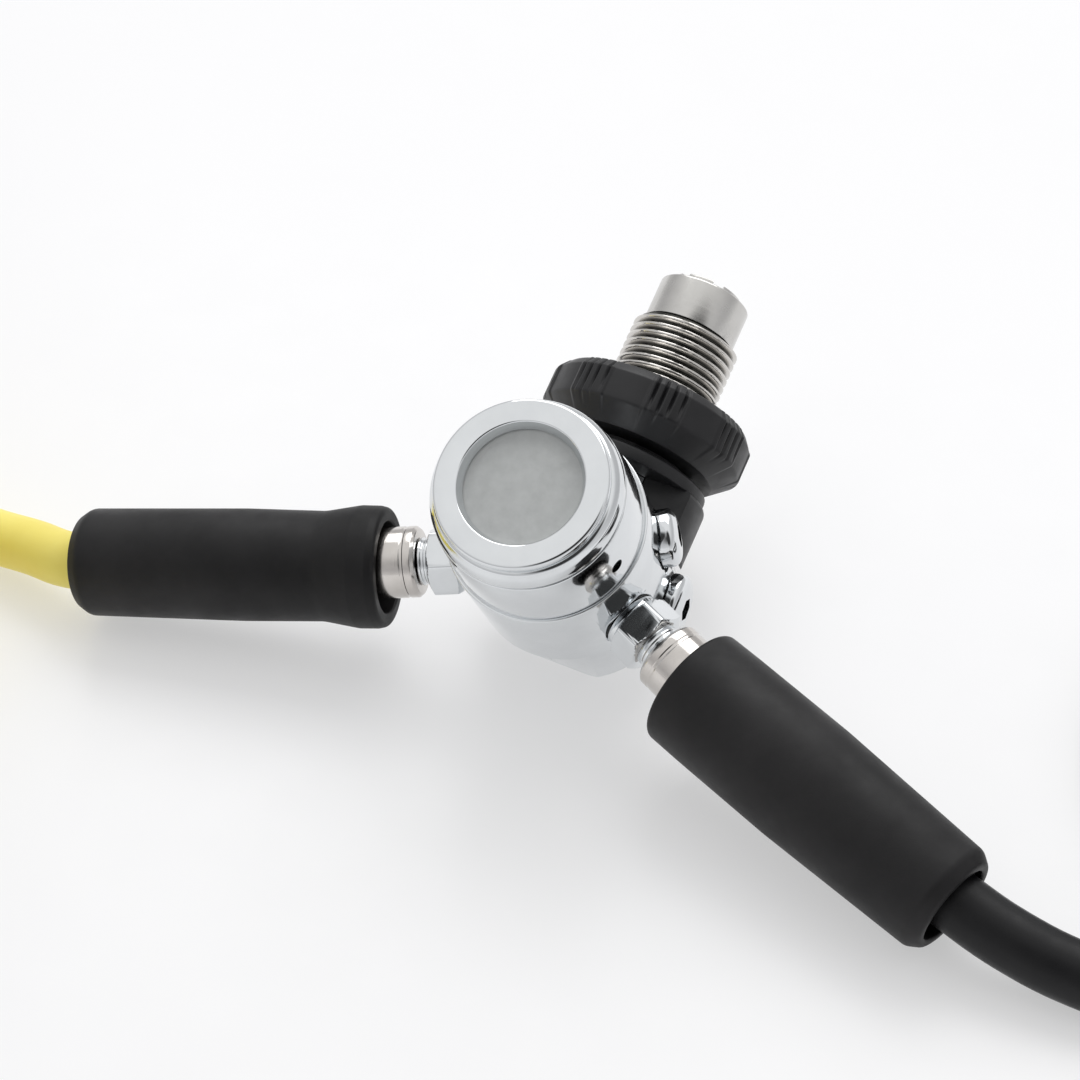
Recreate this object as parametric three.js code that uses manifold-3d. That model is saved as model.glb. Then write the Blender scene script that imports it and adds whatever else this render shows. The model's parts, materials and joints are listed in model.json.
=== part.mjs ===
// Scuba regulator set: a diaphragm first stage with a threaded cylinder connector, two plugged
// high-pressure ports, two plugged low-pressure ports and two low-pressure hoses, whose spare
// length is wound into coils. Millimetres, +Z up, the set lies on the ground plane z = 0.
import * as THREE from "three";
import { mergeVertices } from "three/addons/utils/BufferGeometryUtils.js";
import Module from "manifold-3d";

const wasm = await Module();
wasm.setup();

const DEG = Math.PI / 180;
const FINE = 36; // sides of the body and its cap
const ROUND = 24; // sides of other round pieces
const SMALL = 14; // sides of bores, seals and small pieces

// ---- driving dimensions -------------------------------------------------------------------
const GAP = 0.3; // clearance between neighbouring pieces

// the model's zero point: on the ground under the middle of the set without its loose hoses
const ZERO = [-7.7283, -45.8753, -0.0101];

// how the first stage lies: its own axis leans over, and the connector points up and away
const REST_POINT = [7.8, -30.3, 16.975]; // where the connector's axis meets the body's axis
const TURN = -24.7 * DEG;
const LEAN = 30.4 * DEG;
const ROLL = -2.9 * DEG;

// body, along its own axis: 0 is the connector's axis, + is towards the membrane
const BODY_R = 19.8;
const REAR_R = 18.9;
const REAR_Z = -10;
const BODY_TOP = 32.2;
const FOOT_FLAT = 16.2; // distance of the flat under the rear edge from the axis
const FOOT_FLAT_TOP = 8;
const LP_Z = 14;
const HP_Z = -1;
const LP_HOSE_ANGLE = 113;
const LP_PLUG_ANGLE = 60;
const HP_PLUG_ANGLE = 86;
const PORT_FACE = 18.9; // radial distance of the spot-faces

// front of the body
const CLAMP_R = 18.9;
const HOUSING_Z = [32.6, 47.5];
const CAP_Z = 47.9;
const RING_R = 16.7;
const RING_TOP = 54.1;
const WELL_R = 11.2;
const MEMBRANE_Z = [51, 51.8];
const VENT_ANGLES = [16, 136, -104];
const VENT_Z = 38.5;
const VENT_R = 1.4;

// ports
const LP_BORE = 4.8;
const LP_SHANK = 4.5;
const HP_BORE = 5.6;
const HP_SHANK = 5.3;
const SEAL_WIRE = 0.5;

// cylinder connector, along its own axis from the body's axis (G5/8 pipe thread)
const BOSS_R = 9.7;
const BOSS_TOP = 24;
const THREAD_R = 22.911 / 2;
const THREAD_PITCH = 1.814;
const THREAD_DEPTH = 1.16;
const THREAD_TURNS = 9;
const THREAD_TOP = 56.4;
const WHEEL_R = 22;
const WHEEL_Z = [27.5, 39.9];
const WHEEL_LOBES = 8;
const WHEEL_TURN = 22.5; // degrees from the connector's own X to the first grip
const TIP_R = 9.8;
const TIP_Z = [57.2, 66];
const CROWN_R = [6.7, 7.6];
const CROWN_TOP = 67.4;
const CROWN_NOTCHES = 6;

// hoses
const HOSE_R = 5.9;
const HOSE_STEPS = 32;
const NUT_FLATS = 12.7;
const FERRULE_R = 7.2;
const FERRULE_Z = [29.2, 46];
const SLEEVE_BORE = 7.9;
const SLEEVE_MOUTH = 9.3;
const COIL_R = 60;
const LAYER = 2 * HOSE_R;
const TIE_WIDTH = 9;
const TIE_THICK = 1;
const END_RADIUS = 58; // how far the end fitting's middle is from its coil's middle
const END_HALF = 15.5;
const END_FLATS = 17.5;
const END_CORNER = 9.8; // the nut's corners are turned down to this radius

// Each hose: the points it follows from its fitting, through its sleeve and along the ground,
// to where it joins its coil. Angles are round the coil's middle, counterclockwise.
const HOSES = {
  yellow: {
    side: 1,
    route: [
      [-25.65, -32.9, 23.75],
      [-32.3, -32.06, 22.57],
      [-40.1, -31.07, 21.18],
      [-48, -29.85, 19.8],
      [-56, -28.4, 18.4],
      [-64, -27.05, 17.1],
      [-72, -25.6, 15.8],
      [-79, -24.3, 14.65],
      [-86, -22.9, 13.5],
      [-98, -18.9, 11.3],
      [-107, -12.6, 9.2],
      [-116.5, -6.7, 7.1],
      [-128, 0, 6.0],
      [-137, 4.9, 5.9],
      [-145, 9.1, 5.9],
      [-152.55, 13.2, 5.9],
    ],
    sleeve: { from: [-30.4, -32.1, 21.4], to: [-94.3, -21.2, 12.9] },
    coil: [-183, -38.5],
    tie: 180,
    top: [26, 303],
    end: 320,
  },
  black: {
    side: -1,
    route: [
      [25.42, -59.14, 22.28],
      [29.91, -64.02, 20.78],
      [35.19, -69.77, 19.01],
      [40.6, -75.65, 17.95],
      [46, -81.4, 16.9],
      [51, -86.7, 16.0],
      [56, -91.9, 15.1],
      [61, -96.8, 14.2],
      [66, -101.6, 13.3],
      [74.5, -109.5, 11.3],
      [84, -116.6, 9.0],
      [95.5, -122.5, 6.8],
      [107, -126.7, 6.0],
      [119, -129.9, 5.9],
      [134, -132.6, 5.9],
      [151, -133.9, 5.9],
      [168, -133.3, 5.9],
      [184.92, -131.09, 5.9],
    ],
    sleeve: { from: [28.6, -64.6, 20.6], to: [74, -111, 11.7] },
    coil: [174.5, -72],
    tie: 300,
    top: [230, 388],
    end: 45,
  },
};

// ---- finishes -------------------------------------------------------------------------------
const FINISHES = {
  chrome: { color: 0xd4d7da, roughness: 0.12, metalness: 1 },
  nickel: { color: 0xb9b4ac, roughness: 0.25, metalness: 1 },
  stainless: { color: 0xa8a7a3, roughness: 0.35, metalness: 1 },
  brass: { color: 0xb08d4a, roughness: 0.35, metalness: 1 },
  springSteel: { color: 0x8d8f92, roughness: 0.3, metalness: 1 },
  blackPlastic: { color: 0x1c1c1e, roughness: 0.6, metalness: 0 },
  blackRubber: { color: 0x151516, roughness: 0.8, metalness: 0 },
  blackHose: { color: 0x111112, roughness: 0.55, metalness: 0 },
  yellowHose: { color: 0xe8d24a, roughness: 0.5, metalness: 0 },
  greyRubber: { color: 0x8f9391, roughness: 0.85, metalness: 0 },
  whitePlastic: { color: 0xe4e2dc, roughness: 0.5, metalness: 0 },
  bronzeFilter: { color: 0x9a7444, roughness: 0.9, metalness: 0.6 },
};

// ---- shape helpers --------------------------------------------------------------------------
// a closed three.js surface as a solid that can be added to or cut
function solid(geometry) {
  const bare = geometry.index ? geometry.toNonIndexed() : geometry.clone();
  for (const name of Object.keys(bare.attributes)) {
    if (name !== "position") bare.deleteAttribute(name);
  }
  const merged = mergeVertices(bare, 1e-4);
  const index = merged.index.array;
  const kept = [];
  for (let i = 0; i < index.length; i += 3) {
    const [a, b, c] = [index[i], index[i + 1], index[i + 2]];
    if (a !== b && b !== c && a !== c) kept.push(a, b, c);
  }
  const points = new Float32Array(merged.attributes.position.array);
  if (signedVolume(points, kept) < 0) kept.reverse();
  return new wasm.Manifold(
    new wasm.Mesh({ numProp: 3, vertProperties: points, triVerts: new Uint32Array(kept) })
  );
}

function signedVolume(points, index) {
  const p = [new THREE.Vector3(), new THREE.Vector3(), new THREE.Vector3()];
  let sum = 0;
  for (let i = 0; i < index.length; i += 3) {
    for (let k = 0; k < 3; k += 1) p[k].fromArray(points, 3 * index[i + k]);
    sum += p[0].dot(p[1].cross(p[2]));
  }
  return sum;
}

function surface(body) {
  const mesh = body.getMesh();
  const geometry = new THREE.BufferGeometry();
  const points = new Float32Array((mesh.vertProperties.length / mesh.numProp) * 3);
  for (let i = 0; i < points.length / 3; i += 1) {
    for (let k = 0; k < 3; k += 1) {
      points[3 * i + k] = mesh.vertProperties[mesh.numProp * i + k];
    }
  }
  geometry.setAttribute("position", new THREE.BufferAttribute(points, 3));
  geometry.setIndex(new THREE.BufferAttribute(new Uint32Array(mesh.triVerts), 1));
  geometry.computeVertexNormals();
  return geometry;
}

// turned about +Z from [radius, height] points
function turned(profile, segments = ROUND) {
  const points = profile.map(([r, z]) => new THREE.Vector2(r, z));
  return new THREE.LatheGeometry(points, segments).rotateX(Math.PI / 2);
}

function rod(radius, low, high, segments) {
  return turned([[0, low], [radius, low], [radius, high], [0, high]], segments);
}

function tube(inner, outer, low, high, segments) {
  const profile = [[inner, low], [outer, low], [outer, high], [inner, high], [inner, low]];
  return turned(profile, segments);
}

function ringOf(radius, wire, height, segments = SMALL, sides = 5) {
  const profile = [];
  for (let i = 0; i <= sides; i += 1) {
    const a = (2 * Math.PI * i) / sides;
    profile.push([radius + wire * Math.cos(a), height + wire * Math.sin(a)]);
  }
  return turned(profile, segments);
}

function prism(flats, low, high) {
  const corner = flats / Math.sqrt(3);
  const outline = new THREE.Shape();
  for (let i = 0; i < 6; i += 1) {
    const a = (30 + 60 * i) * DEG;
    if (i === 0) outline.moveTo(corner * Math.cos(a), corner * Math.sin(a));
    else outline.lineTo(corner * Math.cos(a), corner * Math.sin(a));
  }
  const options = { depth: high - low, bevelEnabled: false };
  return new THREE.ExtrudeGeometry(outline, options).translate(0, 0, low);
}

function block(low, high) {
  const size = high.map((v, i) => v - low[i]);
  const middle = high.map((v, i) => (v + low[i]) / 2);
  return new THREE.BoxGeometry(...size).translate(...middle);
}

// a round bar that follows a curve
function along(curve, radius, steps, sides = 8) {
  const section = new THREE.Shape();
  for (let i = 0; i < sides; i += 1) {
    const a = (2 * Math.PI * i) / sides;
    if (i === 0) section.moveTo(radius * Math.cos(a), radius * Math.sin(a));
    else section.lineTo(radius * Math.cos(a), radius * Math.sin(a));
  }
  const options = { steps, bevelEnabled: false, extrudePath: curve };
  return new THREE.ExtrudeGeometry(section, options);
}

function helix(radius, wire, low, high, turns) {
  const points = [];
  const steps = turns * 10;
  for (let i = 0; i <= steps; i += 1) {
    const a = (2 * Math.PI * turns * i) / steps;
    const z = low + ((high - low) * i) / steps;
    points.push(new THREE.Vector3(radius * Math.cos(a), radius * Math.sin(a), z));
  }
  return along(new THREE.CatmullRomCurve3(points), wire, steps, 5);
}

// turns a shape made along +Z to point out of the body at an angle from the connector
function outward(geometry, angle = 0, height = 0) {
  return geometry.rotateX(-Math.PI / 2).rotateZ(angle * DEG).translate(0, 0, height);
}

function cut(base, ...cutters) {
  return surface(cutters.reduce((left, c) => left.subtract(solid(c)), solid(base)));
}

// ---- scene graph ----------------------------------------------------------------------------
const set = new THREE.Group();
set.name = "scuba_regulator_set";
set.position.set(-ZERO[0], -ZERO[1], -ZERO[2]);

function group(name, parent) {
  const made = new THREE.Group();
  made.name = name;
  parent.add(made);
  return made;
}

function part(name, geometry, finish, parent) {
  const material = new THREE.MeshStandardMaterial(FINISHES[finish]);
  material.name = finish;
  const mesh = new THREE.Mesh(geometry, material);
  mesh.name = name;
  parent.add(mesh);
  return mesh;
}

const placed = group("first_stage_placed", set);
placed.position.set(...REST_POINT);
placed.rotation.z = TURN;
const leaned = group("first_stage_leaned", placed);
leaned.rotation.x = LEAN;
const stage = group("first_stage", leaned);
stage.rotation.z = ROLL;
const connector = group("cylinder_connector", stage);
connector.rotation.x = -Math.PI / 2;

function portGroup(name, angle, height) {
  const turnedTo = group(`${name}_side`, stage);
  turnedTo.position.z = height;
  turnedTo.rotation.z = angle * DEG;
  const out = group(name, turnedTo);
  out.rotation.x = -Math.PI / 2;
  return out;
}

// ---- body ---------------------------------------------------------------------------------
const CHAMBER_R = 9;
const VALVE_R = 6.6;
const LP_COUNTERBORE = 6.1;
const HP_COUNTERBORE = 7;

function bodyShape() {
  const outside = turned(
    [
      [0, REAR_Z],
      [REAR_R - 1.3, REAR_Z],
      [REAR_R, REAR_Z + 1.3],
      [BODY_R, 6],
      [BODY_R, BODY_TOP - 1.2],
      [BODY_R - 0.8, BODY_TOP],
      [0, BODY_TOP],
    ],
    FINE
  );
  let body = solid(outside).add(solid(outward(rod(BOSS_R, 0, BOSS_TOP))));
  const cutters = [
    block([-30, -30, REAR_Z - 1], [30, -FOOT_FLAT, FOOT_FLAT_TOP]),
    rod(15.5, 29.3, BODY_TOP + 1),
    rod(CHAMBER_R, 8, 30),
    rod(5.3, 3, 9, SMALL),
    rod(VALVE_R, REAR_Z - 1, 4.2, SMALL),
    outward(rod(5.9, 3, BOSS_TOP + 1, SMALL)),
  ];
  for (const side of [1, -1]) {
    for (const angle of [LP_HOSE_ANGLE, LP_PLUG_ANGLE]) {
      cutters.push(outward(rod(7.6, PORT_FACE, 30, ROUND), side * angle, LP_Z));
      cutters.push(outward(rod(LP_COUNTERBORE, PORT_FACE - 1.2, 30, SMALL), side * angle, LP_Z));
      cutters.push(outward(rod(LP_BORE, CHAMBER_R - 2, 30, SMALL), side * angle, LP_Z));
    }
    cutters.push(outward(rod(7.4, PORT_FACE, 30, ROUND), side * HP_PLUG_ANGLE, HP_Z));
    cutters.push(outward(rod(HP_COUNTERBORE, PORT_FACE - 1.2, 30, SMALL), side * HP_PLUG_ANGLE, HP_Z));
    cutters.push(outward(rod(HP_BORE, 4, 30, SMALL), side * HP_PLUG_ANGLE, HP_Z));
  }
  for (const cutter of cutters) body = body.subtract(solid(cutter));
  return surface(body);
}
part("main_body", bodyShape(), "chrome", stage);

// ---- front of the body: what senses the water's pressure ------------------------------------
const housing = turned(
  [
    [12.6, 31.9],
    [15.2, 31.9],
    [15.2, HOUSING_Z[0]],
    [CLAMP_R, HOUSING_Z[0]],
    [CLAMP_R + 0.5, HOUSING_Z[0] + 0.4],
    [CLAMP_R, 42],
    [CLAMP_R - 0.4, HOUSING_Z[1]],
    [13.6, HOUSING_Z[1]],
    [13.6, 34.4],
    [12.6, 34.4],
    [12.6, 31.9],
  ],
  FINE
);
const vents = VENT_ANGLES.map((angle) => outward(rod(VENT_R, 10, 25, 8), angle, VENT_Z));
part("spring_housing", cut(housing, ...vents), "chrome", stage);

const capProfile = [
  [12.7, CAP_Z],
  [CLAMP_R - 0.5, CAP_Z],
  [18.3, 49.2],
  [17.9, 50.6],
  [17, 51.8],
  [15.4, 52.1],
  [15.4, 52.5],
  [RING_R, 52.7],
  [RING_R, 53.4],
  [16.1, RING_TOP],
  [12.1, RING_TOP],
  [WELL_R, 52.1],
  [12.7, 52.1],
  [12.7, CAP_Z],
];
part("end_cap", turned(capProfile, FINE), "chrome", stage);
const membrane = rod(12.4, MEMBRANE_Z[0], MEMBRANE_Z[1]);
part("ambient_membrane", membrane, "greyRubber", stage);
part("membrane_retainer", tube(11.2, 12.4, 49.3, 50.7), "stainless", stage);
const transmitter = turned([
  [0, 35.9],
  [3, 35.9],
  [3, 47.8],
  [10.6, 48.6],
  [10.6, 50.1],
  [0, 50.1],
]);
part("load_transmitter", transmitter, "whitePlastic", stage);
const spannerHoles = [1, -1].map((s) => rod(1, 44, 48, 6).translate(8.5 * s, 0, 0));
part("spring_adjuster", cut(tube(3.6, 13.2, 44.4, 47.2), ...spannerHoles), "brass", stage);
part("main_spring", helix(9.2, 1.3, 35.2, 42.6, 3), "springSteel", stage);
const pad = turned([[0, 31.3], [11, 31.3], [11, 33.2], [6, 33.2], [6, 35.5], [0, 35.5]]);
part("spring_pad", pad, "brass", stage);
part("diaphragm_washer", tube(12.7, 15.1, 31.2, 31.6), "stainless", stage);
part("main_diaphragm", rod(15.1, 29.9, 30.8), "blackRubber", stage);

// ---- valve between the high- and low-pressure chambers --------------------------------------
const lifter = turned([[0, 4.4], [1.1, 4.4], [1.1, 27], [7.5, 27.8], [7.5, 29.5], [0, 29.5]], SMALL);
part("valve_lifter", lifter, "stainless", stage);
const orifice = turned(
  [
    [2, 4.6],
    [3, 4.6],
    [5, 5.6],
    [5, 8.3],
    [7, 8.3],
    [7, 9.6],
    [3.2, 9.6],
    [2, 8.6],
    [2, 4.6],
  ],
  SMALL
);
part("valve_orifice", orifice, "brass", stage);
const poppet = turned([[0, -6], [1.5, -6], [1.5, 0.6], [4, 0.6], [4, 3.3], [3.4, 3.9], [0, 3.9]], SMALL);
part("valve_poppet", poppet, "brass", stage);
part("poppet_spring", helix(2.9, 0.4, -4.2, -0.6, 3), "springSteel", stage);
const rearPlug = rod(6.2, REAR_Z + GAP, -5.2, SMALL);
const stemHole = rod(1.8, -7.6, -5, 8);
part("balance_plug", cut(rearPlug, stemHole, prism(4, -11, -8.6)), "brass", stage);

// ---- plugs in the spare ports ---------------------------------------------------------------
function plugShape(shank, head, low) {
  const outside = turned(
    [
      [0, low],
      [shank, low],
      [shank, PORT_FACE + GAP],
      [head, PORT_FACE + GAP],
      [head, PORT_FACE + 2.4],
      [0.83 * head, PORT_FACE + 3.7],
      [0.55 * head, PORT_FACE + 4.3],
      [0, PORT_FACE + 4.3],
    ],
    16
  );
  return cut(outside, prism(4.2, PORT_FACE + 1.4, PORT_FACE + 5));
}

for (const [side, angleSign] of [["left", 1], ["right", -1]]) {
  const lp = portGroup(`low_pressure_port_${side}`, angleSign * LP_PLUG_ANGLE, LP_Z);
  part(`low_pressure_plug_${side}`, plugShape(LP_SHANK, 5.8, 10), "chrome", lp);
  const lpSeal = ringOf(5.4, SEAL_WIRE, PORT_FACE - 0.6);
  part(`low_pressure_plug_o_ring_${side}`, lpSeal, "blackRubber", lp);
  const hp = portGroup(`high_pressure_port_${side}`, angleSign * HP_PLUG_ANGLE, HP_Z);
  part(`high_pressure_plug_${side}`, plugShape(HP_SHANK, 6.6, 9), "chrome", hp);
  const hpSeal = ringOf(6.2, SEAL_WIRE, PORT_FACE - 0.6);
  part(`high_pressure_plug_o_ring_${side}`, hpSeal, "blackRubber", hp);
}

// ---- cylinder connector ---------------------------------------------------------------------
function saddleShape() {
  const flange = turned([
    [BOSS_R + GAP, 22.4],
    [17.4, 22.4],
    [17.4, 24.6],
    [16.7, 25.4],
    [BOSS_R + GAP, 25.4],
    [BOSS_R + GAP, 22.4],
  ]);
  const ears = solid(outward(rod(18.4, 10.5, 22.8))).intersect(
    solid(block([-20, 10, -8.2], [20, 23, 7.4]))
  );
  const clear = [rod(BODY_R + 0.35, -40, 40, FINE), outward(rod(BOSS_R + GAP, 0, 30))];
  let saddle = ears.add(solid(outward(flange)));
  for (const cutter of clear) saddle = saddle.subtract(solid(cutter));
  return surface(saddle);
}
part("din_saddle", saddleShape(), "blackPlastic", stage);
part("din_clamp_washer", tube(6.7, 13, 25.7, 27), "blackPlastic", connector);

function threadedStem() {
  const profile = [[6.8, 27.8], [9.9, 27.8], [9.9, WHEEL_Z[1]]];
  const start = THREAD_TOP - THREAD_TURNS * THREAD_PITCH;
  for (let i = 0; i < THREAD_TURNS; i += 1) {
    const z = start + i * THREAD_PITCH;
    profile.push([THREAD_R - THREAD_DEPTH, z + 0.05 * THREAD_PITCH]);
    profile.push([THREAD_R, z + 0.55 * THREAD_PITCH]);
  }
  profile.push([THREAD_R - THREAD_DEPTH, THREAD_TOP]);
  profile.push([8.3, THREAD_TOP], [8.3, 30], [6.8, 30], [6.8, 27.8]);
  return turned(profile, ROUND);
}
part("din_thread_stem", threadedStem(), "stainless", connector);

function wheelShape() {
  const outline = new THREE.Shape();
  const perLobe = 12;
  for (let i = 0; i < WHEEL_LOBES * perLobe; i += 1) {
    const a = (2 * Math.PI * i) / (WHEEL_LOBES * perLobe);
    const lift = THREE.MathUtils.smoothstep(Math.cos(WHEEL_LOBES * a), -0.1, 0.4);
    const r = WHEEL_R - 0.6 + 0.6 * lift;
    if (i === 0) outline.moveTo(r * Math.cos(a), r * Math.sin(a));
    else outline.lineTo(r * Math.cos(a), r * Math.sin(a));
  }
  const height = WHEEL_Z[1] - WHEEL_Z[0];
  const wheel = new THREE.ExtrudeGeometry(outline, { depth: height, bevelEnabled: false });
  wheel.translate(0, 0, WHEEL_Z[0]);
  wheel.rotateZ(WHEEL_TURN * DEG);
  const blank = turned([
    [10.2, WHEEL_Z[0]],
    [WHEEL_R - 3, WHEEL_Z[0]],
    [WHEEL_R + 0.2, WHEEL_Z[0] + 3.4],
    [WHEEL_R + 0.2, WHEEL_Z[1] - 2],
    [WHEEL_R - 2, WHEEL_Z[1]],
    [10.2, WHEEL_Z[1]],
    [10.2, WHEEL_Z[0]],
  ]);
  return surface(solid(wheel).intersect(solid(blank)));
}
part("din_handwheel", wheelShape(), "blackPlastic", connector);

function retainerShape() {
  const outside = turned(
    [
      [2.6, 9],
      [5.5, 9],
      [5.5, BOSS_TOP],
      [6.4, BOSS_TOP + GAP],
      [6.4, 30.3],
      [8, 30.3],
      [8, TIP_Z[0] - 0.4],
      [TIP_R, TIP_Z[0]],
      [TIP_R, TIP_Z[1] - 0.5],
      [TIP_R - 0.5, TIP_Z[1]],
      [CROWN_R[1], TIP_Z[1]],
      [CROWN_R[1], CROWN_TOP],
      [CROWN_R[0], CROWN_TOP],
      [CROWN_R[0], TIP_Z[1] - 1.5],
      [4.1, TIP_Z[1] - 1.5],
      [4.1, TIP_Z[1]],
      [3.6, TIP_Z[1]],
      [3.6, 57],
      [2.6, 56],
      [2.6, 9],
    ],
    ROUND
  );
  const notches = [];
  for (let i = 0; i < CROWN_NOTCHES; i += 1) {
    const notch = block([5, -1.2, TIP_Z[1] + 0.1], [9, 1.2, CROWN_TOP + 1]);
    notches.push(notch.rotateZ((2 * Math.PI * i) / CROWN_NOTCHES));
  }
  return cut(outside, ...notches);
}
part("din_retainer", retainerShape(), "stainless", connector);
part("din_o_ring", ringOf(5.4, 0.98, TIP_Z[1] - 0.2, 20, 6), "blackRubber", connector);
const filter = turned([[0, 57.6], [1.4, 57.6], [3.3, 63.4], [3.3, 64.3], [0, 64.3]], SMALL);
part("inlet_filter", filter, "bronzeFilter", connector);
part("filter_circlip", tube(2.3, 3.3, 64.6, 65.3, SMALL), "springSteel", connector);

// ---- hoses ----------------------------------------------------------------------------------
function fittingShape() {
  const nut = prism(NUT_FLATS, 20.4, 27);
  const spindle = turned(
    [
      [2, 10],
      [LP_SHANK, 10],
      [LP_SHANK, PORT_FACE + GAP],
      [5.9, PORT_FACE + GAP],
      [5.9, 20.6],
      [4.8, 26.8],
      [4.8, FERRULE_Z[0] - GAP],
      [2, FERRULE_Z[0] - GAP],
      [2, 10],
    ],
    SMALL
  );
  const bore = rod(2, 15, 30, SMALL);
  return surface(solid(nut).add(solid(spindle)).subtract(solid(bore)));
}

function ferruleShape(low, high) {
  return turned(
    [
      [2.6, low],
      [FERRULE_R - 0.7, low],
      [FERRULE_R, low + 0.7],
      [FERRULE_R, high],
      [HOSE_R + GAP, high],
      [HOSE_R + GAP, low + 1.7],
      [2.6, low + 1.7],
      [2.6, low],
    ],
    20
  );
}

function sleeveShape(length, hasCollar) {
  const outside = hasCollar
    ? [[SLEEVE_MOUTH, 0], [11.4, 0], [12.4, 1.4], [12.4, 8], [11.2, 11]]
    : [[SLEEVE_MOUTH, 0], [11.2, 0], [12.4, 1.6], [12.2, 30]];
  const profile = [
    ...outside,
    [11, length - 3],
    [9.6, length],
    [SLEEVE_BORE, length],
    [SLEEVE_BORE, 15],
    [SLEEVE_MOUTH, 13.6],
    [SLEEVE_MOUTH, 0],
  ];
  return turned(profile, ROUND);
}

// a group whose +Z runs from one point to another
function aimed(name, parent, from, to) {
  const made = group(name, parent);
  const direction = new THREE.Vector3(...to).sub(new THREE.Vector3(...from));
  made.position.set(...from);
  made.quaternion.setFromUnitVectors(new THREE.Vector3(0, 0, 1), direction.clone().normalize());
  made.userData.length = direction.length();
  return made;
}

function around(centre, radius, degrees, height) {
  const a = degrees * DEG;
  return [centre[0] + radius * Math.cos(a), centre[1] + radius * Math.sin(a), height];
}

// the lower turn of a coil: a ring, slotted for the tie, with room for the hose that joins it
function lowerTurnShape(hose, path) {
  const inner = COIL_R - HOSE_R;
  const outer = COIL_R + HOSE_R;
  const centre = [...hose.coil, 0];
  const ring = tube(inner, outer, 0, LAYER, 40).translate(...centre);
  const slot = block(
    [inner - 2, -TIE_WIDTH / 2 - GAP, -1],
    [outer + 2, TIE_WIDTH / 2 + GAP, TIE_THICK + GAP]
  );
  slot.rotateZ(hose.tie * DEG).translate(...centre);
  const room = along(path, HOSE_R + GAP, HOSE_STEPS);
  const roomAtEnd = new THREE.SphereGeometry(HOSE_R + 2 * GAP, SMALL, SMALL);
  roomAtEnd.translate(...hose.route.at(-1));
  return cut(ring, slot, room, roomAtEnd);
}

// the part turn that lies on top of it
function upperTurnShape(hose) {
  const steps = 24;
  const [from, to] = hose.top;
  const angles = Array.from({ length: steps + 1 }, (_, i) => from + ((to - from) * i) / steps);
  const outside = angles.map((a) => around(hose.coil, COIL_R + HOSE_R, a, 0));
  const inside = angles.map((a) => around(hose.coil, COIL_R - HOSE_R, a, 0)).reverse();
  const sector = new THREE.Shape([...outside, ...inside].map(([x, y]) => new THREE.Vector2(x, y)));
  const turn = new THREE.ExtrudeGeometry(sector, { depth: LAYER - GAP, bevelEnabled: false });
  return surface(solid(turn.translate(0, 0, LAYER + GAP)));
}

function tieShape(hose) {
  const inner = COIL_R - HOSE_R - 3 * GAP;
  const outer = COIL_R + HOSE_R + GAP;
  const top = 2 * LAYER + TIE_THICK + GAP;
  const band = block(
    [inner - TIE_THICK, -TIE_WIDTH / 2, 0],
    [outer + TIE_THICK, TIE_WIDTH / 2, top + TIE_THICK]
  );
  const hole = block([inner, -TIE_WIDTH, TIE_THICK], [outer, TIE_WIDTH, top]);
  const tie = cut(band, hole);
  return tie.rotateZ(hose.tie * DEG).translate(...hose.coil, 0);
}

for (const [colour, hose] of Object.entries(HOSES)) {
  const finish = `${colour}Hose`;
  const port = portGroup(`${colour}_hose_port`, hose.side * LP_HOSE_ANGLE, LP_Z);
  part(`${colour}_hose_fitting`, fittingShape(), "nickel", port);
  const seal = ringOf(5.4, SEAL_WIRE, PORT_FACE - 0.6);
  part(`${colour}_fitting_o_ring`, seal, "blackRubber", port);
  part(`${colour}_hose_ferrule`, ferruleShape(...FERRULE_Z), "nickel", port);

  const hoseGroup = group(`${colour}_hose_on_the_ground`, set);
  const path = new THREE.CatmullRomCurve3(
    hose.route.map((p) => new THREE.Vector3(...p)),
    false,
    "centripetal"
  );
  part(`${colour}_hose`, along(path, HOSE_R, HOSE_STEPS), finish, hoseGroup);
  part(`${colour}_hose_coil_lower`, lowerTurnShape(hose, path), finish, hoseGroup);
  part(`${colour}_hose_coil_upper`, upperTurnShape(hose), finish, hoseGroup);
  part(`${colour}_coil_tie`, tieShape(hose), "blackRubber", hoseGroup);

  const sleeve = aimed(`${colour}_sleeve_axis`, set, hose.sleeve.from, hose.sleeve.to);
  const sleeveSolid = sleeveShape(sleeve.userData.length, hose.side > 0);
  part(`${colour}_hose_sleeve`, sleeveSolid, "blackRubber", sleeve);

  // second-stage end of the hose, lying on the lower layer of its coil
  const middle = around(hose.coil, END_RADIUS, hose.end, LAYER + GAP + END_CORNER);
  const heading = [-Math.sin(hose.end * DEG), Math.cos(hose.end * DEG), 0];
  const from = middle.map((v, i) => v - END_HALF * heading[i]);
  const to = middle.map((v, i) => v + END_HALF * heading[i]);
  const end = aimed(`${colour}_end_axis`, set, from, to);
  const endFerrule = ferruleShape(0, 15).rotateX(Math.PI).translate(0, 0, 15);
  part(`${colour}_end_ferrule`, endFerrule, "nickel", end);
  const endStem = turned(
    [
      [2, 15.3],
      [4.4, 15.3],
      [4.4, 18.6],
      [5.6, 18.6],
      [5.6, 21],
      [4, 21],
      [4, 26],
      [2, 26],
      [2, 15.3],
    ],
    SMALL
  );
  part(`${colour}_end_stem`, endStem, "nickel", end);
  part(`${colour}_end_o_ring`, ringOf(4.75, 0.45, 23.4), "blackRubber", end);
  const nutCutters = [rod(4.8, 15, 33, SMALL), rod(6.1, 18.3, 33, SMALL)];
  const flatDown = (hose.end + 90) * DEG;
  const blank = solid(prism(END_FLATS, 16.6, 31).rotateZ(flatDown));
  const nut = cut(surface(blank.intersect(solid(rod(END_CORNER, 16, 32, 60)))), ...nutCutters);
  part(`${colour}_swivel_nut`, nut, "nickel", end);
}

export default set;
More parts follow.
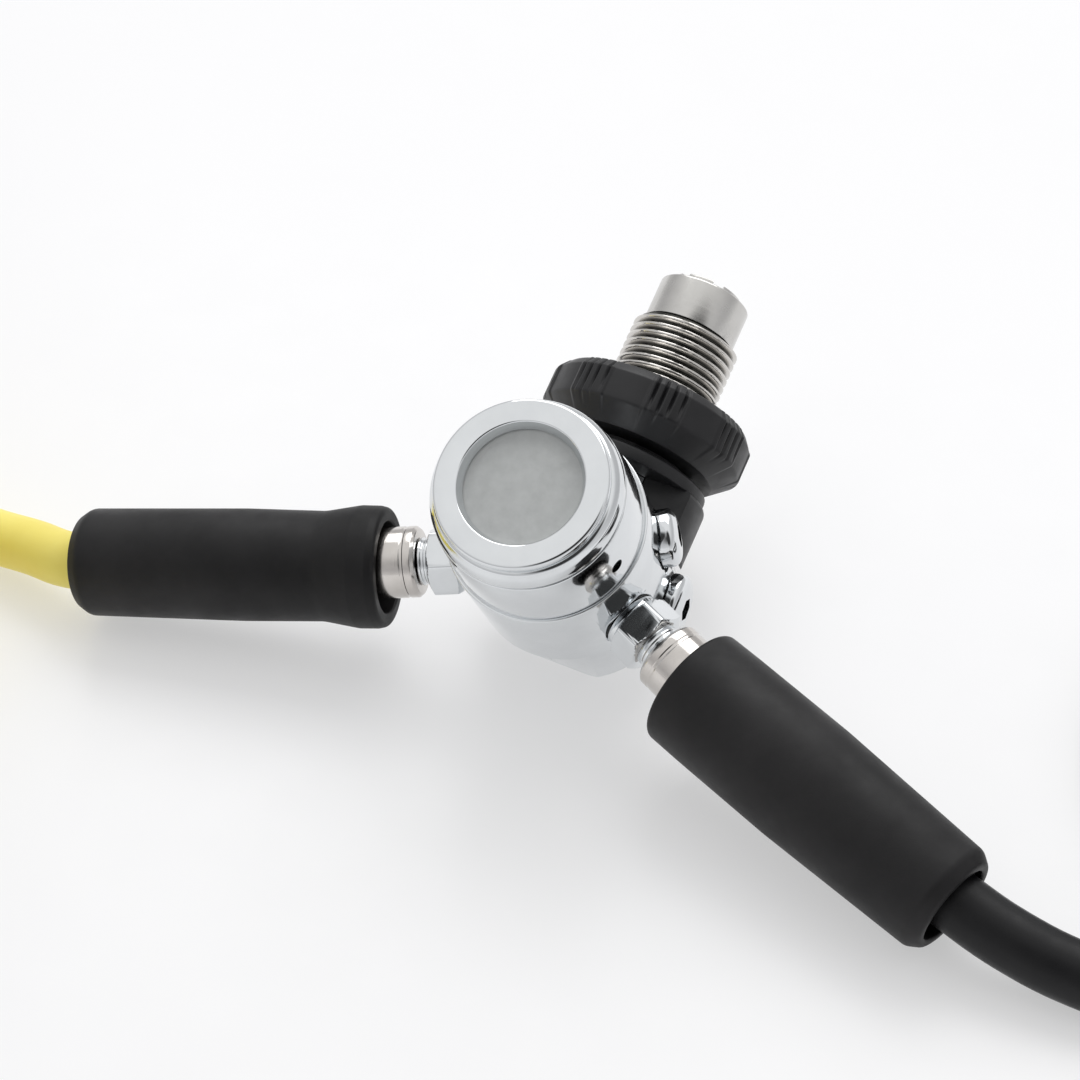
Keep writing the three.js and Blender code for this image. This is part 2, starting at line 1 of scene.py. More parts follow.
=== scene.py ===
"""Looks of a scuba regulator set: first stage, threaded connector, two hoses with spare length coiled."""
import json
import math

import bmesh
import bpy
from mathutils import Matrix, Vector


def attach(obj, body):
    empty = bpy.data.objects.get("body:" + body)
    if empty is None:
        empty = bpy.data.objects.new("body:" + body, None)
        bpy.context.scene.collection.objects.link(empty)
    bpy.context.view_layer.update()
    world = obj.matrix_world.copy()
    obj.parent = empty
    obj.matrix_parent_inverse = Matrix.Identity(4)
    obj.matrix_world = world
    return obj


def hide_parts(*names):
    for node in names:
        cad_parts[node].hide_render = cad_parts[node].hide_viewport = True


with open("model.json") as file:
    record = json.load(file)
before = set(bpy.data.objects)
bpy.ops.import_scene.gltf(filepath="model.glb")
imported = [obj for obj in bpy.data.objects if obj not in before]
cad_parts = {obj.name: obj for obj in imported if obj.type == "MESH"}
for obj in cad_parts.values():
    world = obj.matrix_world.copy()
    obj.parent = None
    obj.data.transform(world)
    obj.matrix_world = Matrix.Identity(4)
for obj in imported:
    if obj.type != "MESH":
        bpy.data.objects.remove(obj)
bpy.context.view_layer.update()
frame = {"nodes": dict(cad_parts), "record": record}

MM = 0.001
RECORD = frame["record"]

# ---- places ---------------------------------------------------------------------------------
# where the part's own zero point is, in its millimetres, under the row frame's origin
ROW_ORIGIN = Vector((-7.7283, -45.8753, -0.0101))


def place(x, y, z):
    """A point of the part's own coordinates, in millimetres, as a point of the row frame."""
    return (Vector((x, y, z)) - ROW_ORIGIN) * MM


def columns(origin, x, y, z):
    m = Matrix.Identity(4)
    for i, axis in enumerate((x, y, z)):
        for row in range(3):
            m[row][i] = axis[row]
    m.translation = origin
    return m


JOINTS = {j["name"]: j for j in RECORD["behaviour"]["joints"]}
WHEEL_MIDDLE = 35  # along the connector's axis from the body's axis
D_AXIS = Vector(JOINTS["handwheel_spin"]["axis"]).normalized()
A_AXIS = Vector(JOINTS["valve_slide"]["axis"]).normalized()
CENTRE = Vector(JOINTS["handwheel_spin"]["pos_m"]) - WHEEL_MIDDLE * MM * D_AXIS
STAGE = columns(CENTRE, D_AXIS.cross(A_AXIS), D_AXIS, A_AXIS)
OUTWARD = Matrix.Rotation(math.radians(-90), 4, "X")
CONNECTOR = STAGE @ OUTWARD


def port(angle, height):
    """The frame of a port of the body, whose +Z points straight out of it."""
    turned_to = Matrix.Rotation(math.radians(angle), 4, "Z")
    return STAGE @ Matrix.Translation((0, 0, height * MM)) @ turned_to @ OUTWARD


def aimed(start, end):
    """A frame whose +Z runs from one point to another."""
    turn = Vector((0, 0, 1)).rotation_difference(end - start).to_matrix().to_4x4()
    return Matrix.Translation(start) @ turn


# ---- camera ---------------------------------------------------------------------------------
CAMERA_AT = (0.0077283, -0.326725, 0.335385)
CAMERA_TILT = 48  # degrees from straight down
camera_data = bpy.data.cameras.new("camera")
camera_data.sensor_width = 36
camera_data.lens = 76.67
camera_data.clip_start = 0.01
camera = bpy.data.objects.new("camera", camera_data)
camera.location = CAMERA_AT
camera.rotation_euler = (math.radians(CAMERA_TILT), 0, 0)
bpy.context.scene.collection.objects.link(camera)
bpy.context.scene.camera = camera


# ---- materials ------------------------------------------------------------------------------
THREAD_R = 22.911 / 2
OWN_SPACE = "own_space"  # each point's place in its piece's own frame, kept on the mesh
NOISE_ROUGHNESS = 0.6
TOOL_MARK = 0.00003  # heights of the finest bumps, in metres
METAL_GRAIN = 0.00002
COVER_WAVE = 0.0004
METAL_GRAIN_SCALE = 9000
POLYMER_GRAIN_SCALE = 3200
SMUDGE_SCALE = 2.6  # times the scale of a metal's patches
RUBBED_SCALE = 3.3  # times the scale of a polymer's patches


def start_material(name):
    mat = bpy.data.materials.new(name)
    mat.use_nodes = True
    tree = mat.node_tree
    tree.nodes.clear()
    out = tree.nodes.new("ShaderNodeOutputMaterial")
    shader = tree.nodes.new("ShaderNodeBsdfPrincipled")
    tree.links.new(shader.outputs[0], out.inputs[0])
    return mat, tree, shader


def noise_of(tree, vector, scale, detail=4.0):
    node = tree.nodes.new("ShaderNodeTexNoise")
    node.inputs["Scale"].default_value = scale
    node.inputs["Detail"].default_value = detail
    node.inputs["Roughness"].default_value = NOISE_ROUGHNESS
    tree.links.new(vector, node.inputs["Vector"])
    return node.outputs[0]


def spread(tree, value, low, high, from_low=0.3, from_high=0.7):
    node = tree.nodes.new("ShaderNodeMapRange")
    tree.links.new(value, node.inputs["Value"])
    limits = {"From Min": from_low, "From Max": from_high, "To Min": low, "To Max": high}
    for name, number in limits.items():
        node.inputs[name].default_value = number
    return node.outputs[0]


def shades(tree, value, dark, light, from_low=0.3, from_high=0.7):
    ramp = tree.nodes.new("ShaderNodeValToRGB")
    ramp.color_ramp.elements[0].position = from_low
    ramp.color_ramp.elements[1].position = from_high
    ramp.color_ramp.elements[0].color = (*dark, 1)
    ramp.color_ramp.elements[1].color = (*light, 1)
    tree.links.new(value, ramp.inputs[0])
    return ramp.outputs[0]


def object_space(tree):
    return tree.nodes.new("ShaderNodeTexCoord").outputs["Object"]


def ring_space(tree):
    """Distance from the piece's own Z axis, and height along it: what a lathe tool leaves."""
    own = tree.nodes.new("ShaderNodeAttribute")
    own.attribute_name = OWN_SPACE
    split = tree.nodes.new("ShaderNodeSeparateXYZ")
    tree.links.new(own.outputs["Vector"], split.inputs[0])
    flat = tree.nodes.new("ShaderNodeCombineXYZ")
    tree.links.new(split.outputs[0], flat.inputs[0])
    tree.links.new(split.outputs[1], flat.inputs[1])
    length = tree.nodes.new("ShaderNodeVectorMath")
    length.operation = "LENGTH"
    tree.links.new(flat.outputs[0], length.inputs[0])
    joined = tree.nodes.new("ShaderNodeCombineXYZ")
    tree.links.new(length.outputs["Value"], joined.inputs[0])
    tree.links.new(split.outputs[2], joined.inputs[2])
    return joined.outputs[0]


def bump(tree, shader, heights):
    """Chains bumps given as (value, strength, distance)."""
    normal = None
    for value, strength, distance in heights:
        node = tree.nodes.new("ShaderNodeBump")
        node.inputs["Strength"].default_value = strength
        node.inputs["Distance"].default_value = distance
        tree.links.new(value, node.inputs["Height"])
        if normal is not None:
            tree.links.new(normal, node.inputs["Normal"])
        normal = node.outputs[0]
    tree.links.new(normal, shader.inputs["Normal"])


def metal(name, dark, light, rough, rings=0.0, ring_scale=2500, grain=0.0, patch_scale=90):
    mat, tree, shader = start_material(name)
    shader.inputs["Metallic"].default_value = 1.0
    space = object_space(tree)
    patches = noise_of(tree, space, patch_scale)
    tree.links.new(shades(tree, patches, dark, light), shader.inputs["Base Color"])
    smudge = noise_of(tree, space, SMUDGE_SCALE * patch_scale, 6)
    tree.links.new(spread(tree, smudge, *rough), shader.inputs["Roughness"])
    heights = []
    if rings:
        heights.append((noise_of(tree, ring_space(tree), ring_scale, 3), rings, TOOL_MARK))
    if grain:
        heights.append((noise_of(tree, space, METAL_GRAIN_SCALE, 3), grain, METAL_GRAIN))
    if heights:
        bump(tree, shader, heights)
    return mat


def thread_steel(name):
    """Bright crests over roots darkened with painted shade."""
    mat, tree, shader = start_material(name)
    shader.inputs["Metallic"].default_value = 1.0
    radius = tree.nodes.new("ShaderNodeSeparateXYZ")
    tree.links.new(ring_space(tree), radius.inputs[0])
    worn = noise_of(tree, object_space(tree), 700, 3)
    # painted shade: the base colour darkens from the crests down into the thread roots
    depth = spread(tree, radius.outputs[0], 0.0, 1.0, (THREAD_R - 1.1) * MM, (THREAD_R - 0.45) * MM)
    colour = shades(tree, depth, (0.05, 0.05, 0.045), (0.66, 0.64, 0.61), 0, 1)
    tree.links.new(colour, shader.inputs["Base Color"])
    tree.links.new(spread(tree, worn, 0.14, 0.24), shader.inputs["Roughness"])
    return mat


def polymer(name, dark, light, rough, grain, patch_scale=60, wave=0.0, wave_scale=120, specular=0.5):
    mat, tree, shader = start_material(name)
    shader.inputs["Specular IOR Level"].default_value = specular
    space = object_space(tree)
    patches = noise_of(tree, space, patch_scale, 6)
    tree.links.new(shades(tree, patches, dark, light), shader.inputs["Base Color"])
    rubbed = noise_of(tree, space, RUBBED_SCALE * patch_scale, 6)
    tree.links.new(spread(tree, rubbed, *rough), shader.inputs["Roughness"])
    heights = [(noise_of(tree, space, POLYMER_GRAIN_SCALE, 4), grain, TOOL_MARK)]
    if wave:
        heights.append((noise_of(tree, space, wave_scale, 2), wave, COVER_WAVE))
    bump(tree, shader, heights)
    return mat


MATERIALS = {
    "chrome": metal("chrome_plate", (0.71, 0.73, 0.745), (0.77, 0.79, 0.805), (0.06, 0.11), grain=0.05),
    "nickel": metal("nickel_plate", (0.56, 0.53, 0.50), (0.70, 0.67, 0.64), (0.10, 0.18), rings=0.25),
    "stainless": metal("turned_steel", (0.55, 0.54, 0.52), (0.66, 0.65, 0.63), (0.2, 0.3),
                       rings=0.4, ring_scale=1300),
    "thread": thread_steel("rolled_thread"),
    "brass": metal("machined_brass", (0.55, 0.40, 0.17), (0.70, 0.54, 0.27), (0.16, 0.28), rings=0.4),
    "spring_steel": metal("spring_wire", (0.32, 0.33, 0.34), (0.48, 0.49, 0.50), (0.2, 0.35), grain=0.3),
    "filter_bronze": metal("sintered_bronze", (0.36, 0.25, 0.13), (0.55, 0.41, 0.24), (0.4, 0.6), grain=1.0),
    "black_plastic": polymer("moulded_plastic", (0.010, 0.010, 0.011), (0.018, 0.018, 0.020), (0.34, 0.5),
                             0.35, specular=0.4),
    "black_rubber": polymer("sleeve_rubber", (0.005, 0.005, 0.0055), (0.021, 0.020, 0.021), (0.42, 0.62),
                            0.5, patch_scale=30, wave=0.3, specular=0.26),
    "seal_rubber": polymer("seal_rubber", (0.010, 0.010, 0.010), (0.018, 0.018, 0.018), (0.3, 0.45), 0.2),
    "yellow_hose": polymer("yellow_cover", (0.90, 0.76, 0.17), (0.95, 0.83, 0.22), (0.4, 0.52),
                           0.25, wave=0.12, specular=0.25),
    "black_hose": polymer("black_cover", (0.005, 0.005, 0.006), (0.011, 0.011, 0.012), (0.34, 0.5),
                          0.3, wave=0.15, specular=0.26),
    "grey_membrane": polymer("membrane_rubber", (0.47, 0.485, 0.48), (0.54, 0.555, 0.55), (0.5, 0.65),
                             0.3, patch_scale=420, wave=0.1, wave_scale=420),
    "white_plastic": polymer("acetal", (0.68, 0.67, 0.64), (0.78, 0.77, 0.74), (0.4, 0.55), 0.2),
}


# ---- making pieces --------------------------------------------------------------------------
def clamp(value):
    return min(max(value, 0), 1)


def smooth(value):
    """0 to 1 with level ends."""
    t = clamp(value)
    return t * t * (3 - 2 * t)


def settle(obj):
    """Keeps each point's own-frame place as an attribute, then moves the mesh into the row frame."""
    mesh = obj.data
    own = [number for vertex in mesh.vertices for number in vertex.co]
    mesh.attributes.new(OWN_SPACE, "FLOAT_VECTOR", "POINT").data.foreach_set("vector", own)
    bpy.context.view_layer.update()
    mesh.transform(obj.matrix_world)
    obj.matrix_world = Matrix.Identity(4)


def finish_piece(obj, slot, body="first_stage", stands_for=(), look=None):
    if obj.type == "MESH":
        settle(obj)
    obj.data.materials.clear()
    obj.data.materials.append(MATERIALS[look or slot])
    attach(obj, body)
    if stands_for:
        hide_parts(*stands_for)
    return obj


def link(name, data, matrix=None):
    obj = bpy.data.objects.new(name, data)
    bpy.context.scene.collection.objects.link(obj)
    if matrix is not None:
        obj.matrix_world = matrix
    return obj


def mesh_object(name, points, faces, matrix, sharp=35):
    """A mesh of points in millimetres in the frame that matrix gives, smooth except at sharp edges."""
    mesh = bpy.data.meshes.new(name)
    mesh.from_pydata([Vector(p) * MM for p in points], [], faces)
    mesh.update()
    work = bmesh.new()
    work.from_mesh(mesh)
    bmesh.ops.remove_doubles(work, verts=work.verts, dist=1e-7)
    bmesh.ops.recalc_face_normals(work, faces=work.faces)
    work.to_mesh(mesh)
    work.free()
    shade(mesh, sharp)
    return link(name, mesh, matrix)


def shade(mesh, sharp=35):
    mesh.shade_smooth()
    mesh.set_sharp_from_angle(angle=math.radians(sharp))


def rounded(profile, steps=4):
    """Rounds the corners of a profile of (r, z) or (r, z, radius) points."""
    out = []
    for i, corner in enumerate(profile):
        here = Vector(corner[:2])
        radius = corner[2] if len(corner) > 2 else 0
        before = Vector(profile[i - 1][:2])
        after = Vector(profile[(i + 1) % len(profile)][:2])
        a, b = (before - here), (after - here)
        if not radius or a.length < 1e-6 or b.length < 1e-6:
            out.append(tuple(here))
            continue
        half = a.angle(b) / 2
        reach = min(radius / max(math.tan(half), 1e-3), 0.49 * a.length, 0.49 * b.length)
        radius = reach * math.tan(half)
        a.normalize()
        b.normalize()
        middle = here + (a + b).normalized() * (radius / math.sin(half))
        start = here + a * reach - middle
        end = here + b * reach - middle
        sweep = start.angle(end)
        for k in range(steps + 1):
            t = k / steps
            mix = (math.sin((1 - t) * sweep) * start + math.sin(t * sweep) * end) / math.sin(sweep)
            out.append(tuple(middle + mix))
    return out


def revolve(profile, sides=128, radius_at=None):
    """Turns a closed profile of (r, z) round Z. radius_at(r, z, angle) may change the radius."""
    points, faces, rings = [], [], []
    for r, z in profile:
        if r < 1e-6:
            rings.append([len(points)] * sides)
            points.append((0, 0, z))
            continue
        rings.append(list(range(len(points), len(points) + sides)))
        for i in range(sides):
            a = 2 * math.pi * i / sides
            radius = radius_at(r, z, a) if radius_at else r
            points.append((radius * math.cos(a), radius * math.sin(a), z))
    for k, ring in enumerate(rings):
        following = rings[(k + 1) % len(rings)]
        for i in range(sides):
            j = (i + 1) % sides
            face = []
            for v in (ring[i], ring[j], following[j], following[i]):
                if v not in face:
                    face.append(v)
            if len(face) > 2:
                faces.append(face)
    return points, faces


def turned(name, profile, matrix, sides=128, sharp=35, radius_at=None):
    points, faces = revolve(profile, sides, radius_at)
    return mesh_object(name, points, faces, matrix, sharp)


def subdivided(profile, longest):
    """The same closed profile with its long sides split, so that radius_at has points to move."""
    out = []
    for (r0, z0), (r1, z1) in zip(profile, profile[1:] + profile[:1]):
        pieces = max(1, int(math.hypot(r1 - r0, z1 - z0) / longest))
        out += [(r0 + (r1 - r0) * k / pieces, z0 + (z1 - z0) * k / pieces) for k in range(pieces)]
    return out


def rod(radius, low, high, sides=64):
    return revolve([(0, low), (radius, low), (radius, high), (0, high)], sides)


def prism(flats, low, high):
    r = flats / math.sqrt(3)
    points = []
    for z in (low, high):
        for k in range(6):
            a = math.radians(60 * k)
            points.append((r * math.cos(a), r * math.sin(a), z))
    sides = [(k, (k + 1) % 6, 6 + (k + 1) % 6, 6 + k) for k in range(6)]
    return points, [(5, 4, 3, 2, 1, 0), (6, 7, 8, 9, 10, 11), *sides]


def block(low, high):
    xs, ys, zs = zip(low, high)
    points = [(x, y, z) for z in zs for y in ys for x in xs]
    return points, [(0, 2, 3, 1), (4, 5, 7, 6), (0, 1, 5, 4), (2, 6, 7, 3), (0, 4, 6, 2), (1, 3, 7, 5)]


def combine(obj, shapes, operation="DIFFERENCE"):
    """Cuts or joins plain shapes, each (points, faces, matrix in the object's own frame)."""
    bpy.context.view_layer.update()
    for points, faces, matrix in shapes:
        tool = mesh_object("tool", points, faces, obj.matrix_world @ matrix)
        modifier = obj.modifiers.new("cut", "BOOLEAN")
        modifier.operation = operation
        modifier.solver = "MANIFOLD"
        modifier.object = tool
        bpy.context.view_layer.update()
        graph = bpy.context.evaluated_depsgraph_get()
        result = bpy.data.meshes.new_from_object(obj.evaluated_get(graph))
        obj.modifiers.clear()
        old, obj.data = obj.data, result
        bpy.data.meshes.remove(old)
        spare = tool.data
        bpy.data.objects.remove(tool)
        bpy.data.meshes.remove(spare)
    shade(obj.data)


IDENTITY = Matrix.Identity(4)


def local(angle=0, height=0):
    """A port's frame inside the stage's frame."""
    lift = Matrix.Translation((0, 0, height * MM))
    return lift @ Matrix.Rotation(math.radians(angle), 4, "Z") @ OUTWARD


# ---- hoses: the first things made, because they decide how far the set spreads ----------------
HOSE_D = 11.8
HOSE_R = HOSE_D / 2
COIL_R = 60
TIE_THICK = 1.0
END_RADIUS = 58  # from the coil's middle to the middle of the second-stage end
END_HALF = 15.5  # half the length of that end
END_FLATS = 17.5
END_CORNER = 9.8  # radius that the swivel nut's corners are turned down to
END_HEIGHT = HOSE_D + 0.3 + END_CORNER
HOSES = {
    "yellow": {
        "route": [
            (-25.65, -32.9, 23.75), (-32.3, -32.06, 22.57), (-40.1, -31.07, 21.18), (-48, -29.85, 19.8),
            (-56, -28.4, 18.4), (-64, -27.05, 17.1), (-72, -25.6, 15.8), (-79, -24.3, 14.65),
            (-86, -22.9, 13.5), (-98, -18.9, 11.3), (-107, -12.6, 9.2), (-116.5, -6.7, 7.1),
            (-128, 0, 6.0), (-137, 4.9, 5.9), (-145, 9.1, 5.9), (-152.55, 13.2, 5.9),
        ],
        "sleeve": ((-30.4, -32.1, 21.4), (-94.3, -21.2, 12.9)),
        "coil": (-183, -38.5),
        "join": 59.5,
        "ramp": (330, 398),
        "turns_end": 270 + 360,
        "tie": 180,
        "end": 320,
        "port": (113, 14),
        "length": 0.81,
    },
    "black": {
        "route": [
            (25.42, -59.14, 22.28), (29.91, -64.02, 20.78), (35.19, -69.77, 19.01), (40.6, -75.65, 17.95),
            (46, -81.4, 16.9), (51, -86.7, 16.0), (56, -91.9, 15.1), (61, -96.8, 14.2),
            (66, -101.6, 13.3), (74.5, -109.5, 11.3), (84, -116.6, 9.0), (95.5, -122.5, 6.8),
            (107, -126.7, 6.0), (119, -129.9, 5.9), (134, -132.6, 5.9), (151, -133.9, 5.9),
            (168, -133.3, 5.9), (184.92, -131.09, 5.9),
        ],
        "sleeve": ((28.6, -64.6, 20.6), (74, -111, 11.7)),
        "coil": (174.5, -72),
        "join": -80,
        "ramp": (180, 250),
        "turns_end": -5 + 360,
        "tie": 300,
        "end": 45,
        "port": (-113, 14),
        "length": 0.71,
    },
}
STEP = 12  # degrees between the points of a coil


def eased(t):
    """0 to 1 with an even bend in each half."""
    t = clamp(t)
    return 2 * t * t if t < 0.5 else 1 - 2 * (1 - t) ** 2


def around(hose, radius, degrees, height):
    a = math.radians(degrees)
    x, y = hose["coil"]
    return (x + radius * math.cos(a), y + radius * math.sin(a), height)


def end_frame(hose):
    """The frame of the second-stage end of a hose, and its own heading, in the row frame."""
    a = math.radians(hose["end"])
    heading = Vector((-math.sin(a), math.cos(a), 0))
    middle = Vector(around(hose, END_RADIUS, hose["end"], END_HEIGHT))
    return aimed(place(*(middle - END_HALF * heading)), place(*(middle + END_HALF * heading)))


def coil_points(hose):
    """The wound turns: a lower layer on the ground, a ramp, and an upper layer on top of it."""
    points = []
    low, high = hose["ramp"]
    count = round((hose["turns_end"] - hose["join"]) / STEP)
    for k in range(1, count + 1):
        angle = hose["join"] + (hose["turns_end"] - hose["join"]) * k / count
        layer = eased((angle - low) / (high - low))
        off_tie = abs((angle - hose["tie"] + 180) % 360 - 180)
        lift = (TIE_THICK + 0.05) * (1 - eased((off_tie - 5) / 30))
        points.append(around(hose, COIL_R, angle, HOSE_R + layer * HOSE_D + lift))
    return points


def tail_points(hose):
    """From the last turn up into the end ferrule, which lies on the lower turns."""
    points = []
    last = hose["turns_end"]
    top = HOSE_R + HOSE_D
    straight = math.degrees(math.atan2(END_HALF, END_RADIUS))
    mouth = hose["end"] - straight
    mouth += 360 * round((last - mouth) / 360 + 0.5 - 1e-9) if mouth < last else 0
    span = mouth - last
    for share in (0.3, 0.6, 0.85):
        rise = eased(share) * (END_HEIGHT - top)
        points.append(around(hose, COIL_R, last + share * span, top + rise))
    a = math.radians(hose["end"])
    heading = Vector((-math.sin(a), math.cos(a), 0))
    middle = Vector(around(hose, END_RADIUS, hose["end"], END_HEIGHT))
    for along in (-1, 5, 12.5):
        points.append(tuple(middle + (along - END_HALF) * heading))
    return points


def hose_curve(name, points):
    data = bpy.data.curves.new(name, "CURVE")
    data.dimensions = "3D"
    data.resolution_u = 6
    data.bevel_depth = HOSE_R * MM
    data.bevel_resolution = 8
    data.use_fill_caps = True
    spline = data.splines.new("BEZIER")
    spline.bezier_points.add(len(points) - 1)
    for point, where in zip(spline.bezier_points, points):
        point.co = place(*where)
        point.handle_left_type = point.handle_right_type = "AUTO"
    return link(name, data)


for colour, hose in HOSES.items():
    line = [*hose["route"], *coil_points(hose), *tail_points(hose)]
    piece = hose_curve(f"{colour}_hose_full", line)
    solids = [f"{colour}_hose{part}" for part in ("", "_coil_lower", "_coil_upper")]
    finish_piece(piece, f"{colour}_hose", stands_for=solids)


# ---- body -----------------------------------------------------------------------------------
BODY_R = 19.8
REAR_R = 18.9
REAR_Z = -10
BODY_TOP = 32.2
FOOT_FLAT = 16.2  # distance of the flat under the rear edge from the axis
LP_Z = 14  # heights of the low-pressure and high-pressure ports along the axis
HP_Z = -1
LP_HOSE = 113  # angles of the ports from the connector's, in degrees
LP_PLUG = 60
HP_PLUG = 86
PORT_FACE = 18.9  # distance of a port's flat face from the axis
COUNTERBORE_DEPTH = 1.2  # under a port's face
CHAMBER_R = 9
VALVE_R = 6.6
BOSS_R = 9.7
BOSS_TOP = 24

body_profile = rounded([
    (0, REAR_Z), (REAR_R - 1.2, REAR_Z, 0.9), (REAR_R, REAR_Z + 1.3, 0.9), (BODY_R, 6, 30),
    (BODY_R, BODY_TOP, 0.25), (0, BODY_TOP),
], 5)
body = turned("first_stage_body", body_profile, STAGE, 256)
boss = revolve(rounded([(0, 0), (BOSS_R, 0), (BOSS_R, BOSS_TOP, 0.5), (0, BOSS_TOP)]), 96)
combine(body, [(*boss, local())], "UNION")
cuts = [
    (*block((-30, -30, REAR_Z - 1), (30, -FOOT_FLAT, 8)), IDENTITY),  # the flat under the rear edge
    (*rod(15.5, 29.3, BODY_TOP + 1, 96), IDENTITY),  # the diaphragm's seat
    (*rod(CHAMBER_R, 8, 30), IDENTITY),
    (*rod(5.3, 3, 9), IDENTITY),  # between the chamber and the valve's bore
    (*rod(VALVE_R, REAR_Z - 1, 4.2), IDENTITY),  # open at the rear
    (*rod(5.9, 3, BOSS_TOP + 1), local()),  # the inlet through the boss
]
for side in (1, -1):
    for angle in (LP_HOSE, LP_PLUG):
        # the face, counterbore and bore of a port
        cuts.append((*rod(7.6, PORT_FACE, 30, 96), local(side * angle, LP_Z)))
        cuts.append((*rod(6.1, PORT_FACE - COUNTERBORE_DEPTH, 30), local(side * angle, LP_Z)))
        cuts.append((*rod(4.8, 7, 30), local(side * angle, LP_Z)))
    cuts.append((*rod(7.4, PORT_FACE, 30, 96), local(side * HP_PLUG, HP_Z)))
    cuts.append((*rod(7, PORT_FACE - COUNTERBORE_DEPTH, 30), local(side * HP_PLUG, HP_Z)))
    cuts.append((*rod(5.6, 4, 30), local(side * HP_PLUG, HP_Z)))
combine(body, cuts)
finish_piece(body, "chrome", stands_for=["main_body"])

# ---- front of the body ------------------------------------------------------------------------
CLAMP_R = 18.9  # the spring housing's middle radius
VENT_R, VENT_Z, VENT_ANGLES = 1.4, 38.5, (16, 136, -104)
housing_profile = rounded([
    (12.6, 31.9), (15.2, 31.9), (15.2, 32.6), (CLAMP_R + 0.5, 32.6, 0.35), (CLAMP_R, 42, 20),
    (CLAMP_R - 0.4, 47.5, 0.3), (13.6, 47.5), (13.6, 34.4), (12.6, 34.4),
])
housing = turned("spring_housing_shell", housing_profile, STAGE, 256)
combine(housing, [(*rod(VENT_R, 10, 25, 32), local(angle, VENT_Z)) for angle in VENT_ANGLES])
finish_piece(housing, "chrome", stands_for=["spring_housing"])

cap_profile = rounded([
    (12.7, 47.9), (CLAMP_R - 0.5, 47.9, 0.25), (18.3, 49.2, 4), (17.9, 50.6, 2), (17, 51.7, 1.2),
    (15.4, 52.05, 0.1), (15.4, 52.5, 0.1), (16.7, 52.6, 0.25), (16.7, 54.1, 0.75),
    (12.1, 54.1, 0.45), (11.2, 52.1, 0.1), (12.7, 52.1),
], 8)
cap = turned("end_cap_ring", cap_profile, STAGE, 256)
finish_piece(cap, "chrome", stands_for=["end_cap"])

membrane_profile = [
    (0, 51.7), (4, 51.66), (8, 51.6), (10.2, 51.55), (10.9, 51.65), (11.4, 51.8), (12.4, 51.8),
    (12.4, 51), (0, 51),
]
membrane = turned("membrane_disc", membrane_profile, STAGE, 128)
finish_piece(membrane, "grey_membrane", stands_for=["ambient_membrane"])

# ---- plugs --------------------------------------------------------------------------------------
PLUG_UNDER = PORT_FACE + 0.3
PLUG_RIM = PORT_FACE + 2.4
PLUG_TOP = PORT_FACE + 4.3
DOME = 1.9  # how far the head is domed over its rim
FLAT_SHARE = 0.46  # of the head's radius that is flat on top
KEY_FLATS = 4.2
DOME_STEPS = 9


def plug(name, node, frame_at, shank, head, low):
    """A plug with a domed head and a hexagonal socket."""
    profile = [
        (0, low), (shank, low, 0.3), (shank, PLUG_UNDER), (head, PLUG_UNDER, 0.15), (head, PLUG_RIM, 0.5),
    ]
    for k in range(1, DOME_STEPS):
        t = math.radians(90 * k / DOME_STEPS)
        profile.append((head * (FLAT_SHARE + 0.54 * math.cos(t)), PLUG_RIM + DOME * math.sin(t)))
    profile += [(FLAT_SHARE * head, PLUG_TOP), (0, PLUG_TOP)]
    piece = turned(name, rounded(profile), frame_at, 96)
    combine(piece, [(*prism(KEY_FLATS, PORT_FACE + 1.4, PORT_FACE + 5), IDENTITY)])
    finish_piece(piece, "chrome", stands_for=[node])


for side, sign in (("left", 1), ("right", -1)):
    for pressure, at_port, sizes in (("low", port(sign * LP_PLUG, LP_Z), (4.5, 5.8, 10)),
                                     ("high", port(sign * HP_PLUG, HP_Z), (5.3, 6.6, 9))):
        plug(f"{pressure}_pressure_cap_{side}", f"{pressure}_pressure_plug_{side}", at_port, *sizes)

# ---- cylinder connector -------------------------------------------------------------------------
SADDLE_BORE = BOSS_R + 0.3
FLANGE_R = 17.4
EAR_R = 18.4
flange = revolve(rounded([
    (SADDLE_BORE, 22.4), (FLANGE_R, 22.4, 0.4), (FLANGE_R, 25.4, 0.9), (SADDLE_BORE, 25.4),
]), 128)
ear_profile = rounded([(0, 10.5), (EAR_R, 10.5), (EAR_R, 22.8, 1.2), (0, 22.8)])
saddle = turned("saddle_guard", ear_profile, CONNECTOR, 192)
to_stage = OUTWARD.inverted()
combine(saddle, [(*block((-20, 10, -8.2), (20, 23, 7.4)), to_stage)], "INTERSECT")
combine(saddle, [(*flange, IDENTITY)], "UNION")
combine(saddle, [
    (*rod(BODY_R + 0.35, -40, 40, 192), to_stage),  # the body's side, with a gap
    (*rod(SADDLE_BORE, 0, 30, 96), IDENTITY),
])
finish_piece(saddle, "black_plastic", stands_for=["din_saddle"])

PITCH = 1.814
DEPTH = 1.16
THREAD_TOP = 56.4
THREAD_LOW = 40.3
PER_PITCH = 12  # rings of points
THREAD_SIDES = 144


